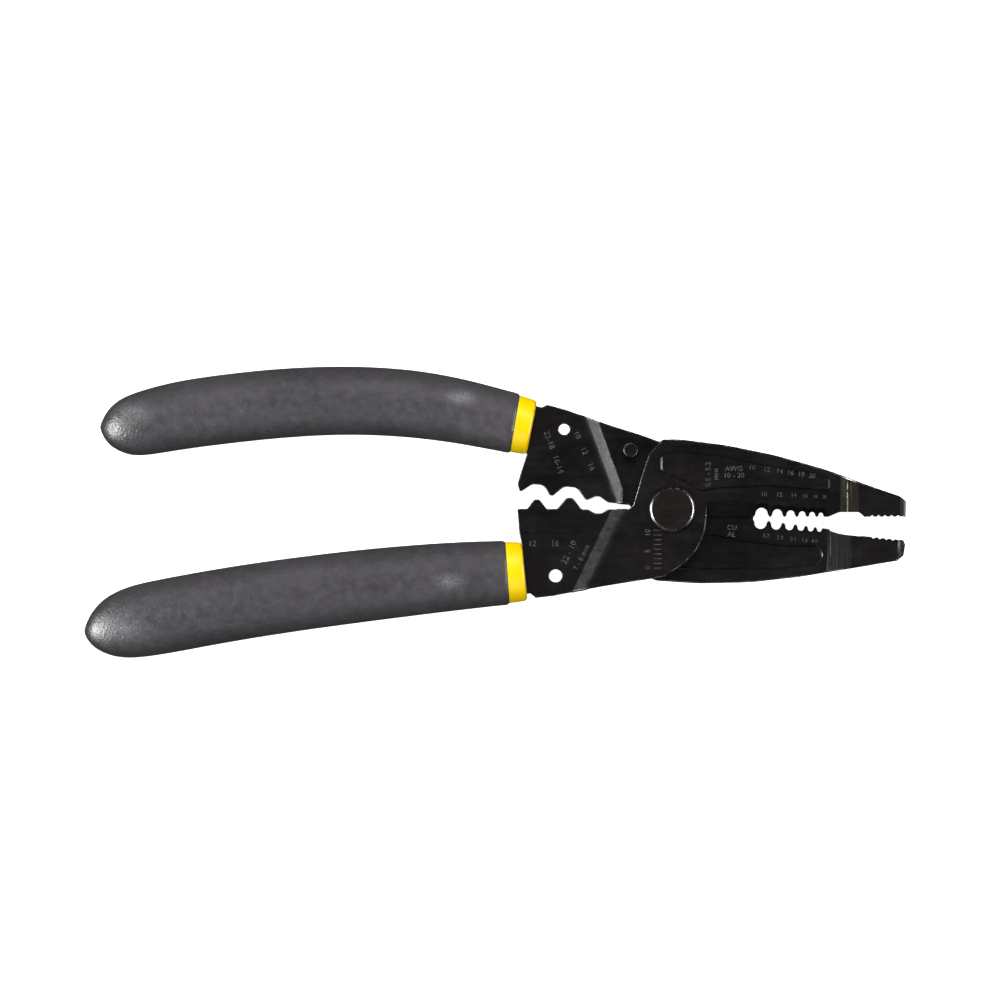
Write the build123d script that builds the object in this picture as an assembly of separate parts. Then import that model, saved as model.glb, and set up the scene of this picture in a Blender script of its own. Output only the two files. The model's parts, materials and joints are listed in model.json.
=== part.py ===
from build123d import *
import math
import os

# Plier-type wire stripper, cutter and crimper: two joggled steel blades crossing at one pivot,
# each with a moulded two-colour handle. Lengths are in mm, angles in degrees.
#
# Each half is drawn in its own frame: the pivot axis is Z through (0, 0), the jaw points to +X,
# the handle to -X and -Y, and the blade's outer face looks up. The front half stays as drawn.
# The rear half is the same kind of half turned over about X, so its outer face looks down.

# --- blade stock ---
blade_thickness = 3.0
blade_gap = 0.04            # running gap between the two blades' inner faces
joggle_radius = 1.0         # inside radius of the offset bends
rib_height = 0.6            # how far the stiffening rib stands out of the sheet
rib_draft = 30.0

# --- opening ---
rest_opening = 5.6          # rear half turned open from the closed position

# --- offset bends, where each blade steps to the middle plane ---
handle_bend_angle = 25.6    # turn of the handle bend away from square to the tool
handle_bend_start = 9.6     # from the pivot, across the bend
handle_bend_end = 12.7
crotch = (-9.8, 0.2)        # inner corner between the pivot boss and the crimping edge
front_nose_bend = (40.2, 43.8)
rear_nose_bend = (38.4, 42.8)

# --- pivot hardware ---
head_radius = 5.45
head_flat_radius = 4.3
head_height = 1.2
head_chamfer_height = 0.55
shoulder_radius = 3.2
shoulder_clearance = 0.05   # radial, rear blade on the bolt's shoulder
key_width = 5.4             # across the two flats in the front blade
key_clearance = 0.04
thread_radius = 2.5
thread_clearance = 0.03
thread_stand = 0.4          # thread showing past the nut
washer_thickness = 0.4
washer_outer_radius = 5.3
nut_across_flats = 9.0
nut_height = 2.5
seat_gap = 0.03             # axial play at the washer

# --- stop pin, pressed into the rear blade ---
stop_pin_radius = 1.72
stop_pin_place = (-11.22, -13.09)
stop_pin_stand = 2.4

# --- cutter ---
cutter_start = 8.3
cutter_end = 19.7
cutter_bevel_width = 3.9
cutter_land = 0.6           # thickness left at the cutting edge

# --- stripping notches, measured with the jaws closed ---
notch_diameters = (2.95, 2.40, 1.95, 1.60, 1.35, 1.10)
notch_first_x = 21.48
notch_wall = 1.15           # metal between two neighbouring notches, less the taper below
notch_wall_taper = 0.06
notch_centre_y = -1.20
notch_centre_fall = 0.017   # how far the centres drop per mm along the jaw
flute_land = 0.5            # straight part of each notch at the inner face
flute_flare = 1.15          # extra radius of the ground flute at the outer face
tooth_tip = 0.35            # width of the points between notches

# --- serrated nose ---
serration_pitch = 1.55
serration_depth = 0.45
serration_count = 5
front_serration_start = 47.95
rear_serration_start = 48.72

# --- end of the nose ---
nose_tip_x = 56.2
tip_taper_length = 1.6
tip_taper_depth = 0.9

# --- wire-loop holes ---
front_loop_hole = (-27.81, -15.99, 1.55)
rear_loop_hole = (-27.49, -16.43, 1.33)

# --- handles ---
grip_mouth_x = -38.9
collar_length = 3.7
collar_inset = 0.45         # how much smaller the inner sleeve's collar is than the grip
collar_taper = 0.25         # how much smaller still the collar is at its front
mouth_tilt = 4.0            # the outer grip's mouth leans back from square
collar_tilt = 5.7           # and so does the collar's front face
sleeve_wall = 1.6           # thickness of the outer grip over the inner sleeve
tang_wall = 1.8             # inner sleeve beside the tang
core_end_thickness = 3.5    # the inner sleeve stops where its half thickness falls to this
tang_shoulder = 1.2         # the tang narrows this far ahead of the outer grip's mouth
tang_end_x = -114.0
tang_end_half_width = 2.4
locking_hole_radius = 2.0
locking_hole_places = (-62.0, -82.0, -102.0)

# --- jaw edges, before the notches and serrations are cut ---
front_edge_y = -1.85        # cutting edge, strip teeth and nose of the front jaw
rear_cutter_y = -0.10
rear_strip_y = 0.50
rear_strip_rise = 0.036
rear_tip_y = 2.0            # serrated nose of the rear jaw
front_hollow = (
    (36.1, front_edge_y - 0.5, 0), (39.9, -0.75, 1.5), (44.9, -0.75, 1.2),
    (46.8, front_edge_y - 0.5, 0),
)
rear_hollow = (
    (40.6, rear_tip_y - 0.1, 0), (41.6, rear_tip_y + 0.1, 0.5), (45.8, rear_tip_y + 0.1, 0.3),
    (46.5, rear_tip_y - 0.5, 0),
)

# Corners of each blade's outline: (x, y, corner radius). The handle side starts at the crotch with
# the small nest for plug terminals, then two pairs of a bump and a nest for crimping lugs.
front_jaw = (
    (8.2, front_edge_y, 0), (55.95, front_edge_y, 0.2), (56.1, 1.9, 0.8), (54.5, 3.1, 2.0),
    (48.6, 5.1, 60), (36.7, 9.45, 60), (24.7, 12.85, 60), (12.7, 15.3, 60), (1.5, 16.7, 20),
    (-2.4, 16.6, 1.5), (-5.5, 13.2, 2.5), (-7.8, 6.3, 20), (-9.4, 0.6, 0.8),
)
front_handle = (
    (-10.3, -0.1, 0.3), (-15.2, -0.1, 0.6), (-16.8, -1.05, 0.8), (-18.3, -1.05, 0.9),
    (-20.1, -0.1, 1.0), (-21.6, -0.1, 0.8), (-23.7, 2.65, 0.9), (-25.15, 2.65, 0.9),
    (-27.4, 0.0, 0.8), (-29.9, 0.0, 0.8), (-31.7, 2.25, 0.75), (-32.9, 2.25, 0.75),
    (-34.6, 0.05, 0.7), (-37.05, 0.05, 0.5), (-36.8, -2.4, 1.0), (-36.5, -6.0, 4.0),
    (-35.8, -9.0, 0.6),
)
front_root = (
    (-35.0, -20.4, 0.4), (-33.9, -20.2, 0.4), (-32.6, -21.3, 0.4), (-28.0, -20.75, 10),
    (-17.2, -18.6, 60), (-5.6, -16.75, 20), (-2.2, -16.3, 4), (2.4, -13.5, 12), (5.8, -10.1, 8),
    (7.9, -5.2, 8),
)
rear_jaw = (
    (8.1, rear_cutter_y, 0), (cutter_end + 0.2, rear_cutter_y, 0.1),
    (cutter_end + 0.4, rear_strip_y, 0.1), (37.9, 1.13, 0.2), (38.4, 1.58, 0.3),
    (40.4, rear_tip_y, 1.5), (55.9, rear_tip_y, 0.3), (56.5, 3.1, 0.6), (56.3, 5.7, 0.8),
    (54.9, 7.05, 0.6), (43.8, 10.05, 60), (32.1, 13.2, 60), (20.3, 15.7, 60), (8.0, 17.15, 60),
    (-2.5, 17.5, 4.0), (-4.6, 16.2, 1.5), (-6.0, 13.0, 4.0), (-7.9, 6.3, 20), (-9.3, 0.8, 0.8),
)
rear_handle = (
    (-10.3, -0.05, 0.3), (-15.3, -0.05, 0.6), (-17.4, -1.25, 0.6), (-18.4, -1.2, 0.7),
    (-20.6, -0.02, 0.6), (-23.1, -2.85, 2.0), (-26.1, -2.85, 2.2), (-28.6, -0.4, 0.5),
    (-29.4, -0.4, 0.5), (-31.1, -2.65, 1.6), (-33.8, -2.65, 2.0), (-36.2, -0.65, 0.5),
    (-36.8, -0.75, 0.4), (-37.35, -2.5, 1.2), (-36.65, -6.0, 4.0), (-35.8, -9.6, 0.6),
)
rear_root = (
    (-35.4, -21.5, 0.4), (-33.4, -21.15, 0.4), (-32.1, -21.9, 0.4), (-28.0, -21.25, 10),
    (-17.0, -18.6, 40), (-9.3, -17.0, 20), (-3.5, -15.6, 8), (2.4, -13.4, 12), (5.8, -10.0, 8),
    (7.9, -5.0, 8),
)
front_rib = (
    (-2.5, 9.2, 1.2), (3.0, 6.9, 2), (6.9, 4.6, 1.2), (12.0, 5.3, 10), (23.4, 5.75, 20),
    (32.7, 4.9, 10), (37.5, 4.5, 0.9), (37.5, 7.3, 1.0), (34.9, 7.7, 1.2), (11.0, 12.5, 20),
    (2.0, 13.4, 6), (-2.5, 13.0, 1.2),
)
rear_rib = (
    (-2.5, 9.2, 1.2), (3.0, 6.9, 4), (9.8, 5.3, 4), (17.8, 6.15, 20), (28.3, 6.35, 10),
    (35.2, 5.6, 1.0), (36.9, 7.5, 1.0), (35.4, 9.95, 1.4), (26.2, 11.6, 40), (8.1, 13.5, 20),
    (-2.5, 13.4, 1.2),
)

# Handle sections from mouth to end: (x, centre y, half width, half thickness), then the tip.
front_stations = (
    (grip_mouth_x, -15.2, 7.8, 6.0), (-51.7, -16.1, 8.25, 6.3), (-63.1, -17.2, 8.6, 6.4),
    (-74.6, -18.45, 8.8, 6.5), (-86.1, -19.9, 8.9, 6.5), (-97.6, -21.5, 9.0, 6.5),
    (-109.1, -23.4, 9.1, 6.5), (-117.7, -25.0, 9.15, 6.4), (-124.0, -26.15, 9.1, 6.3),
    (-129.5, -27.05, 8.75, 5.9), (-133.5, -27.7, 7.8, 5.3), (-136.5, -28.05, 6.3, 4.5),
    (-139.0, -28.7, 3.95, 3.1), (-140.2, -29.1, 1.9, 1.5),
)
front_tip = (-140.7, -29.3)
rear_stations = (
    (grip_mouth_x, -16.6, 7.3, 5.8), (-50.0, -18.15, 7.7, 6.1), (-55.5, -18.7, 7.9, 6.25),
    (-61.0, -19.1, 8.1, 6.4), (-72.0, -19.0, 8.2, 6.5), (-83.0, -18.05, 8.3, 6.5),
    (-94.7, -16.3, 8.5, 6.5), (-106.0, -14.0, 8.55, 6.4), (-115.0, -11.97, 8.55, 6.3),
    (-121.0, -10.4, 8.5, 6.2), (-126.0, -8.8, 8.35, 6.0), (-130.0, -7.75, 7.75, 5.6),
    (-133.5, -7.35, 6.4, 4.8), (-136.0, -6.95, 4.6, 3.6), (-137.5, -6.7, 2.4, 1.9),
)
rear_tip = (-138.2, -6.2)

# --- worked-out values ---
inner_z = blade_gap / 2
outer_z = inner_z + blade_thickness
middle_z = blade_thickness / 2
far = 200.0
up = (Align.CENTER, Align.CENTER, Align.MIN)
down = (Align.CENTER, Align.CENTER, Align.MAX)


def filleted_face(corners):
    """A closed face with a corner radius at each point."""
    points = [(x, y) for x, y, _ in corners]
    radii = [r for _, _, r in corners]
    return make_face(FilletPolyline(*points, radius=radii, close=True))


def sheet_section(start, end):
    """The bent sheet's section in X and Z: flat by the interface, stepping down to the middle plane."""
    drop = outer_z - middle_z
    slope = math.atan2(drop, end - start)
    shift = middle_z * math.tan(slope / 2)
    top = ((start + shift, outer_z), (end + shift, middle_z), (far, middle_z))
    bottom = ((far, -middle_z), (end - shift, -middle_z), (start - shift, inner_z))
    points = ((-far, outer_z),) + top + bottom + ((-far, inner_z),)
    outer_radius = joggle_radius + blade_thickness
    radii = (0, outer_radius, joggle_radius, 0, 0, outer_radius, joggle_radius, 0)
    line = FilletPolyline(*points, radius=radii, close=True)
    return make_face(Plane.XZ * line)


def bent_sheet(nose_bend):
    """The jaw and handle parts of the sheet. The slanted handle bend stops at the crotch."""
    nose = extrude(sheet_section(*nose_bend), far / 2, both=True)
    handle = extrude(sheet_section(handle_bend_start, handle_bend_end), far / 2, both=True)
    handle = Rot(0, 0, 180 - handle_bend_angle) * handle
    right = (Align.MIN, Align.CENTER, Align.CENTER)
    left = (Align.MAX, Align.CENTER, Align.CENTER)
    upper_left = (Align.MIN, Align.MIN, Align.CENTER)
    boss = Pos(*crotch) * Box(-crotch[0], far, far, align=upper_left)
    nose_zone = Box(far, far, far, align=right) + boss
    handle_zone = Box(far, far, far, align=left) - boss
    return nose & nose_zone, handle & handle_zone


def notch_centres():
    """Centre and diameter of each stripping notch along the closed jaws."""
    places = []
    x = notch_first_x
    for i, diameter in enumerate(notch_diameters):
        if i:
            wall = notch_wall - notch_wall_taper * i
            x += (notch_diameters[i - 1] + diameter) / 2 + wall
        y = notch_centre_y - notch_centre_fall * (x - notch_first_x)
        places.append((x, y, diameter))
    return places


def notch_cutter(x, y, diameter):
    """One notch: a straight bore at the inner face, flared like a ground flute to the outer face."""
    radius = diameter / 2
    land = Cylinder(radius, flute_land + 2, align=up)
    land = Pos(x, y, inner_z - 2) * land
    flare_height = blade_thickness - flute_land + 0.5
    flare_radius = radius + flute_flare * flare_height / (blade_thickness - flute_land)
    flare = Cone(radius, flare_radius, flare_height, align=up)
    return land + Pos(x, y, inner_z + flute_land) * flare


def notch_mouths(edge_y, side):
    """Flared mouths that leave a narrow tooth between two neighbouring notches."""
    mouths = []
    for i, (x, y, diameter) in enumerate(notch_centres()):
        radius = diameter / 2
        wall = notch_wall - notch_wall_taper * i
        reach = radius + (wall - tooth_tip) / 2
        edge = edge_y(x)
        points = ((x - radius, y * side), (x + radius, y * side), (x + reach, edge),
                  (x + reach, edge - 0.6), (x - reach, edge - 0.6), (x - reach, edge))
        mouths.append(make_face(Polyline(*points, close=True)))
    return mouths


def serrations(start, tip_y):
    """V cuts of the serrated nose, as one list of small faces."""
    cuts = []
    for i in range(serration_count):
        x = start + i * serration_pitch
        half = serration_pitch / 2 - 0.15
        points = ((x - half, tip_y - 0.01), (x, tip_y + serration_depth), (x + half, tip_y - 0.01))
        cuts.append(make_face(Polyline(*points, close=True)))
    return cuts


def rib(corners):
    """A pad with the rib's outline at its top and drafted sides."""
    foot = offset(filleted_face(corners), rib_height * math.tan(math.radians(rib_draft)))
    return extrude(foot, rib_height, taper=rib_draft)


def cutter_bevel(edge_y):
    """The wedge ground off the outer face down to the cutting edge."""
    section = Polyline(
        (edge_y - 1, inner_z + cutter_land), (edge_y, inner_z + cutter_land),
        (edge_y + cutter_bevel_width, outer_z), (edge_y + cutter_bevel_width, outer_z + 2),
        (edge_y - 1, outer_z + 2), close=True)
    wedge = extrude(make_face(Plane.YZ * section), cutter_end + 0.3 - cutter_start)
    return Pos(cutter_start, 0, 0) * wedge


def tip_wedges():
    """Cuts that thin both faces of the nose towards its end."""
    start = nose_tip_x - tip_taper_length
    section = Polyline((start, middle_z), (nose_tip_x, middle_z - tip_taper_depth),
                       (nose_tip_x + 1, middle_z - tip_taper_depth),
                       (nose_tip_x + 1, middle_z + 1), (start, middle_z + 1), close=True)
    wedge = extrude(make_face(Plane.XZ * section), 20, both=True)
    return [wedge, mirror(wedge, about=Plane.XY)]


def tang_outline(stations):
    """The tang inside the handle, narrowing from the blade to its blind end."""
    upper = []
    lower = []
    for x, y, half_width, _ in stations:
        if x > tang_end_x + 4:
            reach = half_width - sleeve_wall - tang_wall
            if x == grip_mouth_x:
                x += tang_shoulder
            upper.append((x, y + reach, 1.5))
            lower.append((x, y - reach, 1.5))
    end_y = centre_y_at(stations, tang_end_x)
    end = [(tang_end_x, end_y + tang_end_half_width, 1.5),
           (tang_end_x, end_y - tang_end_half_width, 1.5)]
    return upper + end + lower[::-1]


def rear_strip_edge(x):
    """Edge of the rear blade's strip teeth, which rises along the jaw."""
    return rear_strip_y + rear_strip_rise * (x - notch_first_x)


def centre_y_at(stations, x):
    """Height of the handle's centre line at x."""
    for near, away in zip(stations, stations[1:]):
        if away[0] <= x <= near[0]:
            share = (near[0] - x) / (near[0] - away[0])
            return near[1] + share * (away[1] - near[1])
    return stations[-1][1]


def flat_blade(jaw, handle_side, root, stations, tip_y, serration_start, edge_y, side):
    """One blade's flat outline with its strip teeth, serrations and tang holes."""
    tang = tang_outline(stations)
    outline = filleted_face(tuple(jaw) + tuple(handle_side) + tuple(tang) + tuple(root))
    for cut in notch_mouths(edge_y, side) + serrations(serration_start, tip_y):
        outline -= cut
    for x in locking_hole_places:
        outline -= Pos(x, centre_y_at(stations, x)) * Circle(locking_hole_radius)
    return outline


def formed_blade(outline, nose_bend, cutter_y, rib_corners, side):
    """Gives the flat outline the bent sheet, the rib, the bevel and the notches."""
    prism = Pos(0, 0, -far / 10) * extrude(outline, far / 5)
    nose, handle_side = bent_sheet(nose_bend)
    body = (prism & nose) + (prism & handle_side)
    body += Pos(0, 0, outer_z) * rib(rib_corners)
    body -= Pos(0, 0, inner_z) * rib(rib_corners)
    body -= cutter_bevel(cutter_y)
    for x, y, diameter in notch_centres():
        body -= notch_cutter(x, y * side, diameter)
    for wedge in tip_wedges():
        body -= wedge
    return body


def ellipse_section(x, y, half_width, half_thickness, tilt=0.0):
    """A handle section, square to the tool's length or leaning by tilt."""
    lean = math.radians(tilt)
    across = (-math.sin(lean), math.cos(lean), 0)
    along = (math.cos(lean), math.sin(lean), 0)
    return Plane(origin=(x, y, 0), x_dir=across, z_dir=along) * Ellipse(half_width, half_thickness)


def outer_grip(stations, tip):
    """The full handle shape from its mouth to its pointed end."""
    mouth = ellipse_section(*stations[0], mouth_tilt)
    sections = [ellipse_section(*station) for station in stations[1:]]
    return loft([mouth] + sections + [Vertex(tip[0], tip[1], 0)], ruled=True)


def inner_core(stations):
    """The inner sleeve's shape inside the outer grip."""
    sections = []
    for x, y, half_width, half_thickness in stations:
        if half_thickness - sleeve_wall > core_end_thickness:
            tilt = mouth_tilt if x == grip_mouth_x else 0.0
            section = ellipse_section(x, y, half_width - sleeve_wall,
                                      half_thickness - sleeve_wall, tilt)
            sections.append(section)
    return loft(sections, ruled=True)


def collar(stations):
    """The part of the inner sleeve that shows in front of the outer grip."""
    x, y, half_width, half_thickness = stations[0]
    half_width -= collar_inset
    half_thickness -= collar_inset
    rise = (y - stations[1][1]) / (x - stations[1][0]) * collar_length
    back = ellipse_section(x, y, half_width, half_thickness, mouth_tilt)
    front = ellipse_section(x + collar_length, y + rise, half_width - collar_taper,
                            half_thickness - collar_taper, collar_tilt)
    return loft([back, front], ruled=True)


def handle(stations, tip, blade):
    """The two mouldings of one handle: inner sleeve and outer grip."""
    core = inner_core(stations)
    sleeve = core + collar(stations) - blade
    grip = outer_grip(stations, tip) - core
    return sleeve, grip


def front_blade():
    outline = flat_blade(front_jaw, front_handle, front_root, front_stations, front_edge_y,
                         front_serration_start, lambda x: front_edge_y, 1)
    outline -= filleted_face(front_hollow)
    x, y, radius = front_loop_hole
    outline -= Pos(x, y) * Circle(radius)
    flats = Rectangle(key_width + 2 * key_clearance, far)
    outline -= Circle(shoulder_radius + key_clearance) & flats
    return formed_blade(outline, front_nose_bend, front_edge_y, front_rib, 1)


def rear_blade():
    outline = flat_blade(rear_jaw, rear_handle, rear_root, rear_stations, rear_tip_y,
                         rear_serration_start, rear_strip_edge, -1)
    outline -= filleted_face(rear_hollow)
    x, y, radius = rear_loop_hole
    outline -= Pos(x, y) * Circle(radius)
    outline -= Pos(*stop_pin_place) * Circle(stop_pin_radius)
    outline -= Circle(shoulder_radius + shoulder_clearance)
    return formed_blade(outline, rear_nose_bend, rear_cutter_y, rear_rib, -1)


def pivot_bolt():
    """Round flat head, keyed neck, bearing shoulder and threaded end."""
    rim = head_radius - head_flat_radius
    head = Pos(0, 0, outer_z) * Cylinder(head_radius, head_height, align=up)
    head = chamfer(head.edges().sort_by(Axis.Z)[-1], length=head_chamfer_height, length2=rim)
    neck_face = Circle(shoulder_radius) & Rectangle(key_width, 2 * far)
    neck = extrude(neck_face, outer_z)
    shoulder_length = inner_z + blade_thickness + washer_thickness + 2 * seat_gap
    shoulder = Cylinder(shoulder_radius, shoulder_length, align=down)
    thread = Cylinder(thread_radius, nut_height + thread_stand, align=down)
    thread = Pos(0, 0, -shoulder_length) * thread
    return head + neck + shoulder + thread


def spring_washer():
    z = -(outer_z + seat_gap)
    ring = Cylinder(washer_outer_radius, washer_thickness, align=down)
    ring -= Cylinder(shoulder_radius + shoulder_clearance, washer_thickness, align=down)
    return Pos(0, 0, z) * ring


def pivot_nut():
    z = -(inner_z + blade_thickness + washer_thickness + 2 * seat_gap)
    face = RegularPolygon(nut_across_flats / 2, 6, major_radius=False)
    nut = extrude(face - Circle(thread_radius + thread_clearance), -nut_height)
    return Pos(0, 0, z) * nut


def stop_pin():
    pin = Cylinder(stop_pin_radius, blade_thickness + stop_pin_stand, align=down)
    return Pos(*stop_pin_place, outer_z) * pin


def front_half():
    """Everything that stays still in the part's frame."""
    blade = front_blade()
    sleeve, grip = handle(front_stations, front_tip, blade)
    return {"front_blade": blade, "front_grip_sleeve": sleeve, "front_grip": grip,
            "pivot_bolt": pivot_bolt(), "spring_washer": spring_washer(), "pivot_nut": pivot_nut()}


def rear_half():
    """The half that swings, turned over and opened to its place at rest."""
    blade = rear_blade()
    sleeve, grip = handle(rear_stations, rear_tip, blade)
    pieces = {"rear_blade": blade, "rear_grip_sleeve": sleeve, "rear_grip": grip,
              "stop_pin": stop_pin()}
    place = Rot(0, 0, -rest_opening) * Rot(180, 0, 0)
    return {name: place * piece for name, piece in pieces.items()}


# The origin is the centre of the whole tool's box, at its base.
nodes = front_half() | rear_half()
box = Compound(children=[Part() + piece for piece in nodes.values()]).bounding_box()
origin = Pos(-box.center().X, -box.center().Y, -box.min.Z)
os.makedirs("parts", exist_ok=True)
for name, piece in nodes.items():
    export_step(origin * piece, f"parts/{name}.step")
print("pivot at", origin.position)
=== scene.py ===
import json
import math
import bmesh
import bpy
from mathutils import Matrix, Vector


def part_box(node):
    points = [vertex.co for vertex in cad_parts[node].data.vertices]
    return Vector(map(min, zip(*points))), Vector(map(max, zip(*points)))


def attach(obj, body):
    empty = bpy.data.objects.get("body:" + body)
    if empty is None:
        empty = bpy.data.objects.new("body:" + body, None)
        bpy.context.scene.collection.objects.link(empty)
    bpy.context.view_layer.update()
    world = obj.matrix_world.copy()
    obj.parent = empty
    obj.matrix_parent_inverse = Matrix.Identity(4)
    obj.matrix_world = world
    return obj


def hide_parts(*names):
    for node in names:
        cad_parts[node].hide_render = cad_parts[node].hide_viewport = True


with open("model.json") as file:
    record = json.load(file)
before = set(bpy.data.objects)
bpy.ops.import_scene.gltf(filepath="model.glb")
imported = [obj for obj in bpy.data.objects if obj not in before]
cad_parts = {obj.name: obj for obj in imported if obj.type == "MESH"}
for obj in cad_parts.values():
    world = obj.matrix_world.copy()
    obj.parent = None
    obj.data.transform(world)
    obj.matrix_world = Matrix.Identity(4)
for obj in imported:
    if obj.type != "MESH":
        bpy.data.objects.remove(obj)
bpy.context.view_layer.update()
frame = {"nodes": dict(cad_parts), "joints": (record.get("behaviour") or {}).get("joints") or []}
mm = 0.001
pivot = Vector(frame["joints"][0]["pos_m"])
restOpening = math.radians(5.6)  # the rear half lies this far open

# where each half's own drawing frame sits: jaw to +X, handle to -X, outer face up
halfPlace = {
    "front_half": Matrix.Translation(pivot),
    "rear_half": Matrix.Translation(pivot) @ Matrix.Rotation(-restOpening, 4, "Z")
    @ Matrix.Rotation(math.pi, 4, "X"),
}


# small helpers for object mode, edit mode and finishing
def clearAll():
    if bpy.context.object and bpy.context.object.mode != "OBJECT":
        bpy.ops.object.mode_set(mode="OBJECT")
    bpy.ops.object.select_all(action="DESELECT")


def activate(piece):
    clearAll()
    piece.select_set(True)
    bpy.context.view_layer.objects.active = piece


def editMesh(piece, selectMode="EDGE"):
    activate(piece)
    bpy.ops.object.mode_set(mode="EDIT")
    bpy.ops.mesh.select_mode(type=selectMode)
    bpy.ops.mesh.select_all(action="DESELECT")
    return bmesh.from_edit_mesh(piece.data)


def showSelection(piece):
    bmesh.from_edit_mesh(piece.data).select_flush_mode()
    bmesh.update_edit_mesh(piece.data)


def finishPiece(piece, name, body, slotName, *nodes):
    piece.name = name
    piece.data.name = name
    activate(piece)
    bpy.ops.object.transform_apply(location=True, rotation=True, scale=True)
    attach(piece, body)
    if nodes:
        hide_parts(*nodes)


def cleanNormals(piece):
    editMesh(piece)
    bpy.ops.mesh.select_all(action="SELECT")
    bpy.ops.mesh.remove_doubles(threshold=0.001 * mm)
    bpy.ops.mesh.normals_make_consistent(inside=False)
    bpy.ops.object.mode_set(mode="OBJECT")


def applyModifiers(piece):
    activate(piece)
    for modifier in list(piece.modifiers):
        bpy.ops.object.modifier_apply(modifier=modifier.name)


# materials: noise on Object coordinates, mixed step by step
def newMaterial(name):
    material = bpy.data.materials.new(name)
    material.use_nodes = True
    nodes = material.node_tree.nodes
    nodes.clear()
    output = nodes.new("ShaderNodeOutputMaterial")
    shader = nodes.new("ShaderNodeBsdfPrincipled")
    material.node_tree.links.new(shader.outputs["BSDF"], output.inputs["Surface"])
    coords = nodes.new("ShaderNodeTexCoord")
    return material, shader, coords.outputs["Object"]


def addNoise(material, vector, scale, detail=3.0, rough=0.55, stretch=None):
    nodes = material.node_tree.nodes
    links = material.node_tree.links
    if stretch:
        mapping = nodes.new("ShaderNodeMapping")
        mapping.inputs["Scale"].default_value = stretch
        links.new(vector, mapping.inputs["Vector"])
        vector = mapping.outputs["Vector"]
    noise = nodes.new("ShaderNodeTexNoise")
    noise.inputs["Scale"].default_value = scale
    noise.inputs["Detail"].default_value = detail
    noise.inputs["Roughness"].default_value = rough
    links.new(vector, noise.inputs["Vector"])
    return noise.outputs["Fac"]


def addRamp(material, factor, stops):
    nodes = material.node_tree.nodes
    ramp = nodes.new("ShaderNodeValToRGB")
    material.node_tree.links.new(factor, ramp.inputs["Fac"])
    elements = ramp.color_ramp.elements
    while len(elements) < len(stops):
        elements.new(0.5)
    for element, (place, colour) in zip(elements, stops):
        element.position = place
        element.color = (*colour, 1)
    return ramp.outputs["Color"]


def addRange(material, factor, fromLow, fromHigh, low, high):
    nodes = material.node_tree.nodes
    spread = nodes.new("ShaderNodeMapRange")
    spread.inputs["From Min"].default_value = fromLow
    spread.inputs["From Max"].default_value = fromHigh
    spread.inputs["To Min"].default_value = low
    spread.inputs["To Max"].default_value = high
    material.node_tree.links.new(factor, spread.inputs["Value"])
    return spread.outputs["Result"]


def addMath(material, operation, first, second):
    nodes = material.node_tree.nodes
    step = nodes.new("ShaderNodeMath")
    step.operation = operation
    for socket, value in zip(step.inputs, (first, second)):
        if isinstance(value, (int, float)):
            socket.default_value = value
        else:
            material.node_tree.links.new(value, socket)
    return step.outputs["Value"]


def mixColours(material, factor, first, second):
    nodes = material.node_tree.nodes
    links = material.node_tree.links
    mix = nodes.new("ShaderNodeMix")
    mix.data_type = "RGBA"
    links.new(factor, mix.inputs["Factor"])
    for socket, value in ((mix.inputs["A"], first), (mix.inputs["B"], second)):
        if isinstance(value, tuple):
            socket.default_value = (*value, 1)
        else:
            links.new(value, socket)
    return mix.outputs["Result"]


def addBump(material, shader, height, distance):
    nodes = material.node_tree.nodes
    links = material.node_tree.links
    bump = nodes.new("ShaderNodeBump")
    bump.inputs["Distance"].default_value = distance
    links.new(height, bump.inputs["Height"])
    links.new(bump.outputs["Normal"], shader.inputs["Normal"])


blackOxide = {
    "dark": (0.0036, 0.0033, 0.0037),
    "light": (0.0070, 0.0065, 0.0073),
    "brown": (0.0088, 0.0068, 0.0062),
    "dust": (0.045, 0.043, 0.042),
    "roughLow": 0.24,
    "roughHigh": 0.35,
    "grain": 0.008 * mm,
    "specular": 0.42,
    "bendStart": 40.0,  # from the pivot: the offset bend of the nose is ground and dull
    "bendEnd": 44.8,
    "bendFade": 0.8,
    "bendTint": (0.015, 0.0125, 0.0090),
    "lineTint": (0.030, 0.026, 0.020),
    "glintX": 41.9,  # one bright line along the bend, a painted highlight
    "glintWidth": 0.2,
    "glintTint": (0.42, 0.40, 0.36),
    "tipStart": 55.5,  # the nose's end is rubbed bare and lightened as a painted highlight, behind a dull band
    "tipDull": 1.2,
    "tipBareHighlightTint": (0.11, 0.105, 0.092),
}


def alongX(material, place, start, end, fade):
    # 1 between two distances from the pivot, 0 outside them
    split = material.node_tree.nodes.new("ShaderNodeSeparateXYZ")
    material.node_tree.links.new(place, split.inputs["Vector"])
    start = pivot.x + start * mm
    end = pivot.x + end * mm
    rise = addRange(material, split.outputs["X"], start, start + fade * mm, 0, 1)
    fall = addRange(material, split.outputs["X"], end - fade * mm, end, 1, 0)
    return addMath(material, "MULTIPLY", rise, fall)


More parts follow.
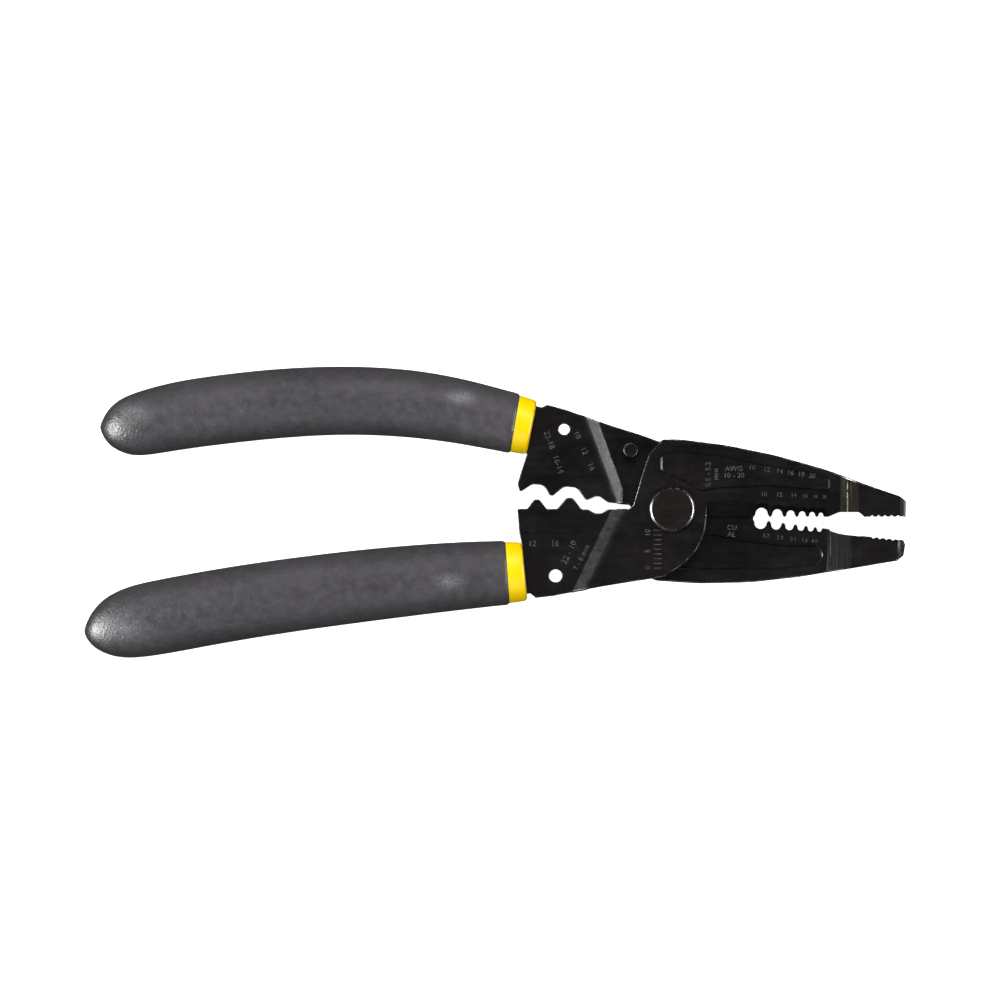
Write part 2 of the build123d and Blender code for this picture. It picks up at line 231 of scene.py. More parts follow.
def makeBlackOxide(name, look):
    material, shader, place = newMaterial(name)
    clouds = addNoise(material, place, 95, 5, 0.6)
    speckle = addNoise(material, place, 2600, 2, 0.6)
    streaks = addNoise(material, place, 900, 3, 0.5, (0.12, 1, 1))
    base = addRamp(material, clouds, ((0.3, look["dark"]), (0.75, look["light"])))
    warm = addRange(material, addNoise(material, place, 38, 3), 0.52, 0.7, 0, 0.7)
    base = mixColours(material, warm, base, look["brown"])
    dust = addRange(material, speckle, 0.66, 0.78, 0, 0.5)
    base = mixColours(material, dust, base, look["dust"])
    ground = alongX(material, place, look["bendStart"], look["bendEnd"], look["bendFade"])
    base = mixColours(material, addMath(material, "MULTIPLY", ground, 0.85), base,
                      look["bendTint"])
    lines = addNoise(material, place, 2600, 3, 0.6, (1, 0.03, 0.03))
    thin = addMath(material, "MULTIPLY", ground, addRange(material, lines, 0.55, 0.66, 0, 0.9))
    base = mixColours(material, thin, base, look["lineTint"])
    # painted highlight: a bright broken line mixed into the colour across the ground bend
    glint = alongX(material, place, look["glintX"] - look["glintWidth"],
                   look["glintX"] + look["glintWidth"], look["glintWidth"])
    broken = addRange(material, addNoise(material, place, 700, 2), 0.42, 0.56, 0, 1)
    glint = addMath(material, "MULTIPLY", glint, broken)
    base = mixColours(material, glint, base, look["glintTint"])
    # the nose's end: rubbed bare, with its colour lightened as a painted highlight
    rubbed = alongX(material, place, look["tipStart"], look["tipStart"] + 20, 0.4)
    behind = alongX(material, place, look["tipStart"] - look["tipDull"],
                    look["tipStart"] + 0.2, 0.4)
    rubbed = addMath(material, "MULTIPLY", rubbed, addRange(material, lines, 0.3, 0.6, 0.2, 1))
    base = mixColours(material, rubbed, base, look["tipBareHighlightTint"])
    material.node_tree.links.new(base, shader.inputs["Base Color"])
    patches = addNoise(material, place, 420, 3, 0.6)
    rough = addRange(material, clouds, 0.25, 0.75, look["roughLow"], look["roughHigh"])
    rough = addMath(material, "ADD", rough, addRange(material, streaks, 0.3, 0.7, -0.04, 0.05))
    rough = addMath(material, "ADD", rough, addRange(material, patches, 0.3, 0.7, -0.04, 0.05))
    matt = addMath(material, "SUBTRACT", addMath(material, "MULTIPLY", ground, 0.42),
                   addMath(material, "MULTIPLY", addMath(material, "MAXIMUM", thin, glint), 0.3))
    matt = addMath(material, "ADD", matt, addMath(material, "MULTIPLY", rubbed, 0.2))
    rough = addMath(material, "ADD", rough, matt)
    material.node_tree.links.new(rough, shader.inputs["Roughness"])
    dull = addMath(material, "SUBTRACT", addMath(material, "MULTIPLY", ground, 0.8),
                   addMath(material, "MULTIPLY", glint, 0.8))
    dull = addMath(material, "ADD", dull, addMath(material, "MULTIPLY", behind, 0.85))
    shine = addMath(material, "MULTIPLY", addMath(material, "SUBTRACT", 1.0, dull),
                    look["specular"])
    material.node_tree.links.new(shine, shader.inputs["Specular IOR Level"])
    height = addMath(material, "ADD", speckle, addMath(material, "MULTIPLY", streaks, 0.8))
    deep = addMath(material, "MULTIPLY", addMath(material, "MULTIPLY", lines, ground), 2.0)
    addBump(material, shader, addMath(material, "ADD", height, deep), look["grain"])
    return material


wornEdge = {
    "dark": (0.010, 0.0096, 0.0094),
    "bare": (0.42, 0.41, 0.395),
    "specular": 0.6,
    "grain": 0.008 * mm,
}


def makeWornEdge(name, look):
    material, shader, place = newMaterial(name)
    wear = addNoise(material, place, 420, 5, 0.65)
    rubbed = addRange(material, wear, 0.34, 0.50, 0.1, 1)
    base = mixColours(material, rubbed, look["dark"], look["bare"])
    material.node_tree.links.new(base, shader.inputs["Base Color"])
    metal = addRange(material, wear, 0.34, 0.50, 0.4, 1.0)
    material.node_tree.links.new(metal, shader.inputs["Metallic"])
    rough = addRange(material, wear, 0.3, 0.7, 0.30, 0.20)
    material.node_tree.links.new(rough, shader.inputs["Roughness"])
    shader.inputs["Specular IOR Level"].default_value = look["specular"]
    addBump(material, shader, addNoise(material, place, 2200, 3), look["grain"])
    return material


softRubber = {
    "dark": (0.0385, 0.0358, 0.0395),
    "light": (0.061, 0.0570, 0.0625),
    "roughLow": 0.30,
    "roughHigh": 0.50,
    "grain": 0.13 * mm,
    # painted highlights on the top, lighter in colour and glossier: x and y from the pivot, half
    # length, half width
    "paintedHighlightSpots": ((-50.5, 26.6, 6.5, 3.0), (-53.2, -17.2, 6.0, 3.2),
                    (-129.0, 23.0, 8.5, 5.0), (-131.5, -28.6, 9.5, 5.0)),
    "paintedHighlightTint": (0.20, 0.193, 0.203),
    "highlightSpotGloss": 0.08,
    "dust": (0.16, 0.158, 0.162),
    "specular": 0.6,
    "sheen": 0.05,
}


def addPaintedHighlightSpots(material, place, look):
    nodes = material.node_tree.nodes
    links = material.node_tree.links
    total = 0.0
    for x, y, halfLength, halfWidth in look["paintedHighlightSpots"]:
        offset = nodes.new("ShaderNodeVectorMath")
        offset.operation = "SUBTRACT"
        offset.inputs[1].default_value = (pivot.x + x * mm, pivot.y + y * mm, 0)
        links.new(place, offset.inputs[0])
        share = nodes.new("ShaderNodeVectorMath")
        share.operation = "MULTIPLY"
        share.inputs[1].default_value = (1 / (halfLength * mm), 1 / (halfWidth * mm), 0)
        links.new(offset.outputs["Vector"], share.inputs[0])
        reach = nodes.new("ShaderNodeVectorMath")
        reach.operation = "LENGTH"
        links.new(share.outputs["Vector"], reach.inputs[0])
        spot = addRange(material, reach.outputs["Value"], 0.1, 1.0, 1, 0)
        total = addMath(material, "ADD", addMath(material, "MULTIPLY", spot, spot), total)
    # only the upper side gets the painted highlights
    split = nodes.new("ShaderNodeSeparateXYZ")
    links.new(place, split.inputs["Vector"])
    upper = addRange(material, split.outputs["Z"], pivot.z, pivot.z + 3 * mm, 0, 1)
    return addMath(material, "MULTIPLY", total, upper)


def makeSoftRubber(name, look):
    material, shader, place = newMaterial(name)
    broad = addNoise(material, place, 45, 4, 0.5)
    mottle = addNoise(material, place, 480, 4, 0.6)
    grain = addNoise(material, place, 1900, 2, 0.5)
    mixed = addMath(material, "ADD", addMath(material, "MULTIPLY", broad, 0.6),
                    addMath(material, "MULTIPLY", mottle, 0.4))
    base = addRamp(material, mixed, ((0.32, look["dark"]), (0.68, look["light"])))
    dust = addRange(material, grain, 0.64, 0.76, 0, 0.22)
    base = mixColours(material, dust, base, look["dust"])
    highlightMask = addPaintedHighlightSpots(material, place, look)
    mottledHighlightMask = addMath(material, "MULTIPLY", highlightMask, addRange(material, grain, 0.4, 0.6, 0.35, 0.8))
    # painted highlight: lighter mottled colour where the lamps' shine would fall
    base = mixColours(material, mottledHighlightMask, base, look["paintedHighlightTint"])
    material.node_tree.links.new(base, shader.inputs["Base Color"])
    rough = addRange(material, mottle, 0.3, 0.7, look["roughLow"], look["roughHigh"])
    shine = addMath(material, "MULTIPLY", highlightMask, look["highlightSpotGloss"])
    rough = addMath(material, "SUBTRACT", rough, shine)
    material.node_tree.links.new(rough, shader.inputs["Roughness"])
    shader.inputs["Specular IOR Level"].default_value = look["specular"]
    shader.inputs["Sheen Weight"].default_value = look["sheen"]
    height = addMath(material, "ADD", grain, addMath(material, "MULTIPLY", mottle, 0.35))
    addBump(material, shader, height, look["grain"])
    return material


yellowPlastic = {
    "deep": (0.88, 0.56, 0.0),
    "bright": (0.92, 0.65, 0.0),
    "scuff": (0.80, 0.50, 0.02),
    "roughLow": 0.26,
    "roughHigh": 0.38,
    "glowShare": 0.06,  # light that enters the plastic and comes out again
    "glowDepth": 0.8 * mm,
    "grain": 0.01 * mm,
}


def makeYellowPlastic(name, look):
    material, shader, place = newMaterial(name)
    clouds = addNoise(material, place, 140, 4)
    flow = addNoise(material, place, 700, 3, 0.5, (1, 0.25, 0.25))
    base = addRamp(material, clouds, ((0.25, look["deep"]), (0.6, look["bright"])))
    scuffs = addRange(material, addNoise(material, place, 1500, 3), 0.67, 0.78, 0, 0.25)
    base = mixColours(material, scuffs, base, look["scuff"])
    material.node_tree.links.new(base, shader.inputs["Base Color"])
    rough = addRange(material, flow, 0.3, 0.7, look["roughLow"], look["roughHigh"])
    material.node_tree.links.new(rough, shader.inputs["Roughness"])
    shader.inputs["Subsurface Weight"].default_value = look["glowShare"]
    shader.inputs["Subsurface Scale"].default_value = look["glowDepth"]
    addBump(material, shader, addNoise(material, place, 1300, 3), look["grain"])
    return material


etchedMark = {
    "faded": (0.030, 0.028, 0.026),
    "clear": (0.095, 0.090, 0.085),
    "grain": 0.01 * mm,
}


def makeEtchedMark(name, look):
    material, shader, place = newMaterial(name)
    fade = addNoise(material, place, 900, 4, 0.7)
    base = addRamp(material, fade, ((0.42, look["faded"]), (0.66, look["clear"])))
    material.node_tree.links.new(base, shader.inputs["Base Color"])
    rough = addRange(material, fade, 0.3, 0.7, 0.45, 0.7)
    material.node_tree.links.new(rough, shader.inputs["Roughness"])
    addBump(material, shader, addNoise(material, place, 3500, 2), look["grain"])
    return material


bladeBlacks = {
    "front_half": makeBlackOxide("front_blade_oxide", blackOxide),
    # the rear bend's glint is a faint painted highlight line
    "rear_half": makeBlackOxide("rear_blade_oxide", {
        **blackOxide, "bendStart": 37.0, "bendEnd": 43.0, "bendTint": (0.011, 0.0105, 0.0110),
        "glintX": 38.0, "glintWidth": 0.1, "glintTint": (0.09, 0.087, 0.084)}),
}
edgeSteel = makeWornEdge("blade_worn_edge", wornEdge)
hardwareBlack = makeBlackOxide("hardware_black_oxide", {
    **blackOxide, "dark": (0.0048, 0.0038, 0.0042), "light": (0.0088, 0.0070, 0.0075),
    "brown": (0.0120, 0.0085, 0.0080), "grain": 0.03 * mm})
rubberGrey = makeSoftRubber("grip_soft_rubber", softRubber)
# a pale copy of the rubber: the painted highlight on the grip's lip
lipHighlightGrey = makeSoftRubber("grip_lip_painted_highlight", {
    **softRubber, "dark": (0.24, 0.215, 0.225), "light": (0.40, 0.37, 0.38), "grain": 0.03 * mm})
sleeveYellow = makeYellowPlastic("sleeve_yellow", yellowPlastic)
rimSteel = makeWornEdge("bolt_rim", {
    **wornEdge, "dark": (0.008, 0.0075, 0.0075), "bare": (0.30, 0.29, 0.28)})
markGrey = makeEtchedMark("etched_mark", etchedMark)
print("materials ready")


# blades: the sheet outlines with rolled and ground edges
bladeEdges = {
    "sharpAngle": 33,  # an edge bent more than this gets a rounding
    "outlineRadius": 0.24,
    "bossRadius": 0.34,
    "bossStart": -8.6,
    "bossEnd": 53.0,
    "panelRadius": 0.3,
    "keenStart": 8.35,  # past the pivot, the jaw's working edge stays keen
    "keenEnd": 55.0,
    "keenTop": 4.1,
    "boltHole": 3.9,  # edges this near the bolt or the stop pin are the rims of filled holes
    "pinHole": 2.1,
    "segments": 3,
    "smoothAngle": 28,
}


def copyNode(node):
    piece = bpy.data.objects.new(node + "_piece", frame["nodes"][node].data.copy())
    bpy.context.scene.collection.objects.link(piece)
    piece.data.materials.clear()
    editMesh(piece)
    bpy.ops.mesh.select_all(action="SELECT")
    bpy.ops.mesh.customdata_custom_splitnormals_clear()
    bpy.ops.mesh.remove_doubles(threshold=0.002 * mm)
    bpy.ops.mesh.dissolve_limited(angle_limit=math.radians(0.4))
    bpy.ops.object.mode_set(mode="OBJECT")
    return piece


def weighNormals(piece):
    activate(piece)
    bpy.ops.object.shade_smooth_by_angle(angle=math.radians(bladeEdges["smoothAngle"]))
    bpy.ops.object.modifier_add(type="WEIGHTED_NORMAL")
    piece.modifiers[-1].weight = 100
    piece.modifiers[-1].keep_sharp = True
    applyModifiers(piece)


def roundEdges(piece, radius, wanted, materialIndex=1):
    mesh = editMesh(piece)
    for edge in mesh.edges:
        sharp = len(edge.link_faces) == 2 and edge.calc_face_angle() > math.radians(
            bladeEdges["sharpAngle"])
        if sharp and edge.is_convex and wanted(edge):
            edge.select = True
    showSelection(piece)
    bpy.ops.mesh.bevel(offset=radius * mm, segments=bladeEdges["segments"], affect="EDGES",
                       clamp_overlap=False, material=materialIndex)
    bpy.ops.object.mode_set(mode="OBJECT")


def makeBlade(node, body):
    piece = copyNode(node)
    piece.data.materials.append(bladeBlacks[body])
    piece.data.materials.append(edgeSteel)
    toHalf = halfPlace[body].inverted()
    pinLow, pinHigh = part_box("stop_pin")
    filled = ((pivot, bladeEdges["boltHole"]), ((pinLow + pinHigh) / 2, bladeEdges["pinHole"]))

    def isKeen(edge):
        ends = [toHalf @ vert.co / mm for vert in edge.verts]
        return any(bladeEdges["keenStart"] < end.x < bladeEdges["keenEnd"]
                   and end.y < bladeEdges["keenTop"] for end in ends)

    def isPanel(edge):
        # the raised panel's own edges: every face around them leans less than a wall
        return all(abs(face.normal.z) > 0.3 for face in edge.link_faces)

    def isFilled(edge):
        # the rim of a hole that the pivot bolt or the stop pin fills
        middle = (edge.verts[0].co + edge.verts[1].co) / 2
        return any((middle - hole).xy.length < reach * mm for hole, reach in filled)

    def isBoss(edge):
        return all(bladeEdges["bossStart"] < (toHalf @ vert.co / mm).x < bladeEdges["bossEnd"]
                   for vert in edge.verts)

    def isOutline(edge):
        return not (isKeen(edge) or isPanel(edge) or isFilled(edge))

    roundEdges(piece, bladeEdges["bossRadius"],
               lambda edge: isOutline(edge) and isBoss(edge))
    roundEdges(piece, bladeEdges["outlineRadius"],
               lambda edge: isOutline(edge) and not isBoss(edge))
    roundEdges(piece, bladeEdges["panelRadius"],
               lambda edge: isPanel(edge) and not isKeen(edge), 0)
    weighNormals(piece)
    finishPiece(piece, node + "_visual", body, "blade_steel", node)


for side in ("front", "rear"):
    makeBlade(side + "_blade", side + "_half")
print("blades ready")


# handles: rings read from the moulded shape, one after the other
handleShape = {
    "sides": 32,
    "wall": 1.6,
    "mouthTilt": 4.0,
    "mouthX": -38.9,
    "lipRadius": 1.35,
    "lipTurn": 0.72,  # the lip's faces turned this far to the collar get a pale painted highlight
    "tipGaps": (0.35, 1.3, 2.8, 5.0, 8.0, 11.5, 16.0, 22.0, 31.0, 41.0, 52.0, 63.0, 74.0,
                84.0, 93.0),  # where rings are read, from the handle's end
    "smoothing": 2,
    "collarInset": 0.45,
    "collarLength": 3.7,
    "collarTaper": 0.25,
    "collarTilt": 5.7,
    "collarRadius": 0.9,
}


def readSection(node, body, x):
    mesh = frame["nodes"][node].data
    toHalf = halfPlace[body].inverted()
    points = [toHalf @ vert.co / mm for vert in mesh.vertices]
    across = []
    height = []
    for edge in mesh.edges:
        a, b = points[edge.vertices[0]], points[edge.vertices[1]]
        if (a.x - x) * (b.x - x) < 0:
            share = (x - a.x) / (b.x - a.x)
            across.append(a.y + share * (b.y - a.y))
            height.append(a.z + share * (b.z - a.z))
    return (max(across) + min(across)) / 2, (max(across) - min(across)) / 2, max(height)


def ringChain(rings, sides):
    # rings: (x, centre y, half width, half thickness, tilt), in the half's own frame
    clearAll()
    x, y, wide, thick, tilt = rings[0]
    bpy.ops.mesh.primitive_circle_add(vertices=sides, radius=1 * mm, fill_type="NGON",
                                      location=(0, 0, 0), rotation=(0, math.pi / 2, 0))
    piece = bpy.context.object
    bpy.ops.object.transform_apply(location=True, rotation=True, scale=True)
    bpy.ops.object.mode_set(mode="EDIT")
    bpy.ops.mesh.select_all(action="SELECT")
    bpy.ops.transform.resize(value=(1, wide, thick), center_override=(0, 0, 0))
    bpy.ops.transform.translate(value=(x * mm, y * mm, 0))
    lastTilt = 0.0
    for ring in rings[1:]:
        newX, newY, newWide, newThick, newTilt = ring
        centre = (newX * mm, newY * mm, 0)
        bpy.ops.mesh.extrude_region_move(
            TRANSFORM_OT_translate={"value": ((newX - x) * mm, (newY - y) * mm, 0)})
        if lastTilt:
            bpy.ops.transform.rotate(value=math.radians(lastTilt), orient_axis="Z",
                                     center_override=centre)
        bpy.ops.transform.resize(value=(1, newWide / wide, newThick / thick),
                                 center_override=centre)
        if newTilt:
            bpy.ops.transform.rotate(value=-math.radians(newTilt), orient_axis="Z",
                                     center_override=centre)
        x, y, wide, thick, lastTilt = ring
    bpy.ops.object.mode_set(mode="OBJECT")
    return piece


def handleRings(gripNode, sleeveNode, body):
    toHalf = halfPlace[body].inverted()
    tip = min((toHalf @ vert.co / mm for vert in frame["nodes"][gripNode].data.vertices),
              key=lambda point: point.x)
    coreEnd = min((toHalf @ vert.co / mm).x for vert in frame["nodes"][sleeveNode].data.vertices)
    outer = []
    for gap in handleShape["tipGaps"]:
        outer.append((tip.x + gap, *readSection(gripNode, body, tip.x + gap), 0.0))
    mouthX = handleShape["mouthX"]
    near = readSection(gripNode, body, mouthX - 1.5)
    back = readSection(gripNode, body, mouthX - 3.5)
    slope = (near[0] - back[0]) / 2
    mouth = (mouthX, near[0] + slope * 1.5, near[1] - (back[1] - near[1]) * 0.75,
             near[2] - (back[2] - near[2]) * 0.75, handleShape["mouthTilt"])
    return tip, coreEnd, outer, mouth, slope


def inset(ring, amount, shift=0.0, slope=0.0, tilt=None):
    # a smaller ring, moved along the handle
    x, y, wide, thick, oldTilt = ring
    return (x + shift, y + shift * slope, wide - amount, thick - amount,
            oldTilt if tilt is None else tilt)


def smoothPiece(piece):
    activate(piece)
    bpy.ops.object.modifier_add(type="SUBSURF")
    piece.modifiers[-1].levels = handleShape["smoothing"]
    piece.modifiers[-1].render_levels = handleShape["smoothing"]
    applyModifiers(piece)
    bpy.ops.object.shade_smooth()


def makeGrip(gripNode, sleeveNode, body):
    tip, coreEnd, outer, mouth, slope = handleRings(gripNode, sleeveNode, body)
    wall = handleShape["wall"]
    radius = handleShape["lipRadius"]
    rings = [inset(ring, wall) for ring in outer if coreEnd < ring[0] < mouth[0]]
    rings.append(inset(mouth, wall, -1.2, slope))
    rings.append(inset(mouth, wall, -0.12, slope))
    rings.append(inset(mouth, wall - 0.12, 0, slope))
    for turn in (0, 30, 60, 90):  # the rounded lip, from the end face to the outside
        angle = math.radians(turn)
        rings.append(inset(mouth, radius * (1 - math.sin(angle)), -radius * (1 - math.cos(angle)),
                           slope))
    rings.append(inset(mouth, 0, -2.2 * radius, slope, 2.0))
    rings += [ring for ring in reversed(outer) if ring[0] < mouth[0] - 4]
    piece = ringChain(rings, handleShape["sides"])
    mesh = editMesh(piece, "FACE")
    end = min(mesh.faces, key=lambda face: face.calc_center_median().x)
    end.select = True
    showSelection(piece)
    last = outer[0]
    bpy.ops.mesh.extrude_region_move(
        TRANSFORM_OT_translate={"value": ((tip.x - last[0]) * mm, (tip.y - last[1]) * mm, 0)})
    bpy.ops.mesh.merge(type="CENTER")
    bpy.ops.object.mode_set(mode="OBJECT")
    piece.matrix_world = halfPlace[body]
    cleanNormals(piece)
    smoothPiece(piece)
    piece.data.materials.append(rubberGrey)
    piece.data.materials.append(lipHighlightGrey)
    toHalf = halfPlace[body].inverted()
    # lip faces that face the collar get the pale painted highlight
    for face in piece.data.polygons:
        atLip = (toHalf @ face.center / mm).x > handleShape["mouthX"] - 2
        if atLip and (toHalf.to_3x3() @ face.normal).x > handleShape["lipTurn"]:
            face.material_index = 1
    finishPiece(piece, gripNode + "_visual", body, "grip_rubber", gripNode)


def makeSleeve(gripNode, sleeveNode, body):
    _, coreEnd, outer, mouth, slope = handleRings(gripNode, sleeveNode, body)
    wall = handleShape["wall"] + 0.02  # a hair inside the grip
    small = handleShape["collarInset"]
    length = handleShape["collarLength"]
    taper = handleShape["collarTaper"]
    front = handleShape["collarTilt"]
    radius = handleShape["collarRadius"]
    rings = [inset(ring, wall) for ring in outer if coreEnd < ring[0] < mouth[0]]
    rings.append(inset(mouth, wall, -0.9, slope))
    rings.append(inset(mouth, small + 0.1, -0.75, slope))
    rings.append(inset(mouth, small, -0.5, slope))
    rings.append(inset(mouth, small + taper * 0.3, length * 0.35, slope))
    rings.append(inset(mouth, small + taper * 0.8, length - radius * 1.3, slope, front))
    for turn in (8, 35, 62, 90):  # the rounded front edge
        angle = math.radians(turn)
        rings.append(inset(mouth, small + taper + radius * (1 - math.cos(angle)),
                           length - radius * (1 - math.sin(angle)), slope, front))
    rings.append(inset(mouth, small + taper + radius + 0.5, length, slope, front))
    rings.append(inset(mouth, small + taper + radius + 2.4, length, slope, front))
    piece = ringChain(rings, handleShape["sides"])
    piece.matrix_world = halfPlace[body]
    cleanNormals(piece)
    smoothPiece(piece)
    piece.data.materials.append(sleeveYellow)
    finishPiece(piece, sleeveNode + "_visual", body, "sleeve_plastic", sleeveNode)


for side in ("front", "rear"):
    makeGrip(side + "_grip", side + "_grip_sleeve", side + "_half")
    makeSleeve(side + "_grip", side + "_grip_sleeve", side + "_half")
print("handles ready")


# pivot hardware: the bolt is turned from rings, the small parts get rounded edges
bolt = {
    "sides": 96,
    # the head's rounded rim, from the side up to the face: drop from the top, step inwards
    "rim": ((0.62, 0.0), (0.46, 0.05), (0.30, 0.16), (0.10, 0.46), (0.02, 0.66), (0.0, 0.95)),
    "rimWidth": 0.66,  # worn bare
    "faceDish": 0.05,
    "seat": 3.02,  # the head's underside, above the blades' meeting plane
    "shoulderRadius": 3.18,
    "threadRadius": 2.5,
    "threadChamfer": 0.15,
    "threadChamferShare": 0.93,
}
smallParts = {  # node: body, edge rounding
    "pivot_nut": ("front_half", 0.25),
    "spring_washer": ("front_half", 0.08),
    "stop_pin": ("rear_half", 0.3),
}


def faceAt(mesh, z):
    flat = [face for face in mesh.faces if abs(face.normal.z) > 0.99
            and abs(face.calc_center_median().z - z) < 0.01 * mm]
    return max(flat, key=lambda face: face.calc_area())


def makeBolt():
    low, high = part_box("pivot_bolt")
    headRadius = (high.x - low.x) / 2
    headBase = pivot.z + bolt["seat"] * mm
    rimDrop = bolt["rim"][0][0] * mm
    clearAll()
    bpy.ops.mesh.primitive_cylinder_add(
        vertices=bolt["sides"], radius=headRadius, depth=high.z - rimDrop - headBase,
        location=(pivot.x, pivot.y, (high.z - rimDrop + headBase) / 2))
    piece = bpy.context.object
    bpy.ops.object.transform_apply(location=True, rotation=True, scale=True)
    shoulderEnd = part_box("pivot_nut")[1].z
    mesh = editMesh(piece, "FACE")
    faceAt(mesh, headBase).select = True
    showSelection(piece)
    bpy.ops.mesh.inset(thickness=headRadius - bolt["shoulderRadius"] * mm)
    bpy.ops.mesh.extrude_region_move(
        TRANSFORM_OT_translate={"value": (0, 0, shoulderEnd - headBase)})
    bpy.ops.mesh.inset(thickness=(bolt["shoulderRadius"] - bolt["threadRadius"]) * mm)
    chamfer = bolt["threadChamfer"] * mm
    share = bolt["threadChamferShare"]
    bpy.ops.mesh.extrude_region_move(
        TRANSFORM_OT_translate={"value": (0, 0, low.z - shoulderEnd + chamfer)})
    bpy.ops.mesh.extrude_region_move(TRANSFORM_OT_translate={"value": (0, 0, -chamfer)})
    bpy.ops.transform.resize(value=(share, share, 1), center_override=(pivot.x, pivot.y, 0))
    bpy.ops.mesh.inset(thickness=0.5 * mm)
    mesh = editMesh(piece, "FACE")
    faceAt(mesh, high.z - rimDrop).select = True
    showSelection(piece)
    drop, step = bolt["rim"][0]
    for newDrop, newStep in bolt["rim"][1:]:
        share = (headRadius - newStep * mm) / (headRadius - step * mm)
        bpy.ops.mesh.extrude_region_move(
            TRANSFORM_OT_translate={"value": (0, 0, (drop - newDrop) * mm)})
        bpy.ops.transform.resize(value=(share, share, 1), center_override=(pivot.x, pivot.y, 0))
        drop, step = newDrop, newStep
    bpy.ops.mesh.inset(thickness=0.3 * mm, depth=-bolt["faceDish"] * mm)
    bpy.ops.mesh.inset(thickness=0.6 * mm)
    bpy.ops.object.mode_set(mode="OBJECT")
    for face in piece.data.polygons:
        onRim = high.z - rimDrop < face.center.z < high.z - 0.03 * mm
        if onRim and (face.center - pivot).xy.length > headRadius - bolt["rimWidth"] * mm:
            face.material_index = 1
    cleanNormals(piece)
    piece.data.materials.append(hardwareBlack)
    piece.data.materials.append(rimSteel)
    weighNormals(piece)
    finishPiece(piece, "pivot_bolt_visual", "front_half", "hardware_steel", "pivot_bolt")


def makeSmallPart(node, body, radius):
    piece = copyNode(node)
    piece.data.materials.append(hardwareBlack)
    piece.data.materials.append(edgeSteel)
    roundEdges(piece, radius, lambda edge: True)
    weighNormals(piece)
    finishPiece(piece, node + "_visual", body, "hardware_steel", node)


makeBolt()
for node, (body, radius) in smallParts.items():
    makeSmallPart(node, body, radius)
print("hardware ready")


# etched size marks: plain numbers beside the notches, the crimping nests and the cutter
markSink = 0.012 * mm
letterShare = 1.4  # text size for one unit of letter height
levels = {"frontFace": 3.02, "panel": 3.62, "plate": 1.5, "rearFace": -0.02}
# text, x and y from the pivot, letter height, turn, level
marks = {
    "front_half": [
        ("10", 21.9, 3.5, 1.1, 0, "frontFace"), ("12", 25.6, 3.4, 1.1, 0, "frontFace"),
        ("14", 29.0, 3.25, 1.0, 0, "frontFace"), ("16", 31.7, 3.1, 0.9, 0, "frontFace"),
        ("18", 34.1, 3.0, 0.85, 0, "frontFace"), ("20", 36.3, 2.9, 0.8, 0, "frontFace"),
        ("AWG", 14.7, 9.6, 1.25, 0, "panel"), ("10 - 20", 14.7, 8.0, 1.25, 0, "panel"),
        ("0.5 - 5.2", 8.6, 8.3, 1.3, 90, "panel"), ("mm", 10.4, 8.3, 1.3, 90, "panel"),
        ("10    12   14  16  18  20", 26.2, 8.9, 1.2, -8, "panel"),
        ("| | | | | | | | |", -3.6, -9.6, 1.5, 90, "frontFace"),
        ("0      5      10", -5.8, -9.6, 1.3, 90, "frontFace"),
        ("22 - 10", -24.6, -10.4, 1.5, 64, "plate"), ("7 - 8 mm", -21.6, -11.6, 1.3, 64, "plate"),
        ("12", -33.4, -8.3, 1.4, 0, "plate"), ("16", -28.0, -8.3, 1.4, 0, "plate"),
    ],
    "rear_half": [
        ("5.2", 22.6, -6.4, 0.95, -4, "rearFace"), ("3.3", 25.9, -6.9, 0.95, -4, "rearFace"),
        ("2.1", 29.1, -7.2, 0.9, -4, "rearFace"), ("1.3", 31.8, -7.5, 0.85, -4, "rearFace"),
        ("0.8", 34.2, -7.7, 0.8, -4, "rearFace"),
        ("CU", 14.4, -4.5, 1.2, -5, "rearFace"), ("AL", 14.3, -6.1, 1.2, -5, "rearFace"),
        ("22-18   16-14", -28.3, 13.6, 1.4, -70, "plate"),
        ("10    12    16", -21.0, 13.9, 1.4, -66, "plate"),
    ],
}


def makeMarks(body, entries):
    pieces = []
    for text, x, y, height, turn, level in entries:
        clearAll()
        bpy.ops.object.text_add(location=(0, 0, 0))
        word = bpy.context.object
        word.data.body = text
        word.data.align_x = "CENTER"
        word.data.align_y = "CENTER"
        word.data.size = height * letterShare * mm
        word.data.resolution_u = 2
        word.data.extrude = markSink
        activate(word)
        bpy.ops.object.convert(target="MESH")
        word.rotation_euler = (0, 0, math.radians(turn))
        word.location = pivot + Vector((x, y, levels[level])) * mm
        bpy.ops.object.transform_apply(location=True, rotation=True, scale=True)
        pieces.append(word)
    clearAll()
    for piece in pieces:
        piece.select_set(True)
    bpy.context.view_layer.objects.active = pieces[0]
    bpy.ops.object.join()
    piece = bpy.context.object
    cleanNormals(piece)
    piece.data.materials.clear()
    piece.data.materials.append(markGrey)
    finishPiece(piece, body + "_marks", body, "blade_steel")


for body, entries in marks.items():
    makeMarks(body, entries)
print("marks ready")


# floor, lights and camera
studio = {
    "viewDrop": 1.2,  # camera above the blades
    "viewCentre": (-41.12, 2.15),  # from the pivot, in mm
    "frameWidth": 239.4,
    "floorSize": 3.0,
    "floorGlow": 1.0,
    "skyGlow": 0.014,
    "sensor": 36,
}
# name: direction round the tool (0 is +X), height angle, distance, width, length, power
lamps = {
    "rightStrip": (0, 32, 1.0, 0.18, 0.9, 9.0),
    "leftStrip": (188, 27, 1.0, 0.42, 0.62, 25),
    "keySoft": (90, 50, 1.3, 0.7, 1.2, 24),
    "fillSoft": (270, 50, 1.3, 0.6, 1.2, 12),
}


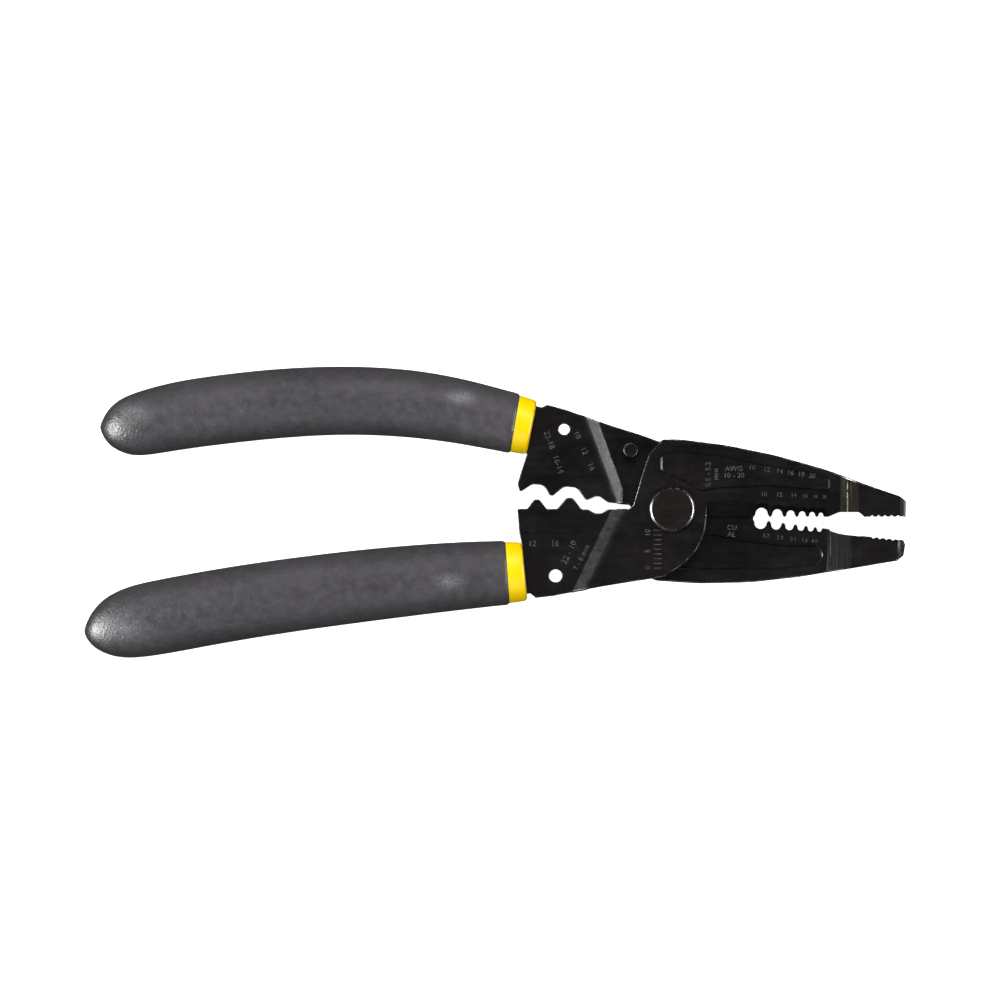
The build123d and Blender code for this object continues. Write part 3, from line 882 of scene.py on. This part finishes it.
def makeStudio():
    centre = pivot + Vector((studio["viewCentre"][0] * mm, studio["viewCentre"][1] * mm, 0))
    clearAll()
    bpy.ops.mesh.primitive_plane_add(size=studio["floorSize"], location=(0, 0, 0))
    floor = bpy.context.object
    floor.name = "studio_floor"
    material, shader, place = newMaterial("floor_white")
    paper = addRamp(material, addNoise(material, place, 300, 2),
                    ((0.3, (0.88, 0.88, 0.88)), (0.7, (0.91, 0.91, 0.91))))
    material.node_tree.links.new(paper, shader.inputs["Base Color"])
    shader.inputs["Roughness"].default_value = 0.9
    shader.inputs["Emission Color"].default_value = (1, 1, 1, 1)
    shader.inputs["Emission Strength"].default_value = studio["floorGlow"]
    floor.data.materials.append(material)
    floor.visible_glossy = False
    floor.visible_diffuse = False
    for name, (turn, rise, distance, width, length, power) in lamps.items():
        turn, rise = math.radians(turn), math.radians(rise)
        offset = Vector((math.cos(turn) * math.cos(rise), math.sin(turn) * math.cos(rise),
                         math.sin(rise)))
        place = centre + offset * distance
        bpy.ops.object.light_add(type="AREA", location=place)
        lamp = bpy.context.object
        lamp.name = name
        lamp.rotation_euler = offset.to_track_quat("Z", "Y").to_euler()
        lamp.data.shape = "RECTANGLE"
        lamp.data.size = length
        lamp.data.size_y = width
        lamp.data.energy = power
        lamp.visible_glossy = name.endswith("Strip")  # the strips make the shine only,
        lamp.visible_diffuse = not name.endswith("Strip")  # the soft lamps the shading only
    world = bpy.data.worlds.new("studio")
    bpy.context.scene.world = world
    world.use_nodes = True
    world.node_tree.nodes["Background"].inputs["Color"].default_value = (1, 1, 1, 1)
    world.node_tree.nodes["Background"].inputs["Strength"].default_value = studio["skyGlow"]
    bpy.ops.object.camera_add(location=centre + Vector((0, 0, studio["viewDrop"])),
                              rotation=(0, 0, 0))
    camera = bpy.context.object
    camera.name = "topCamera"
    camera.data.sensor_width = studio["sensor"]
    camera.data.lens = studio["sensor"] * studio["viewDrop"] / (studio["frameWidth"] * mm)
    bpy.context.scene.camera = camera
    bpy.context.scene.view_settings.view_transform = "Standard"


makeStudio()
print("studio ready")
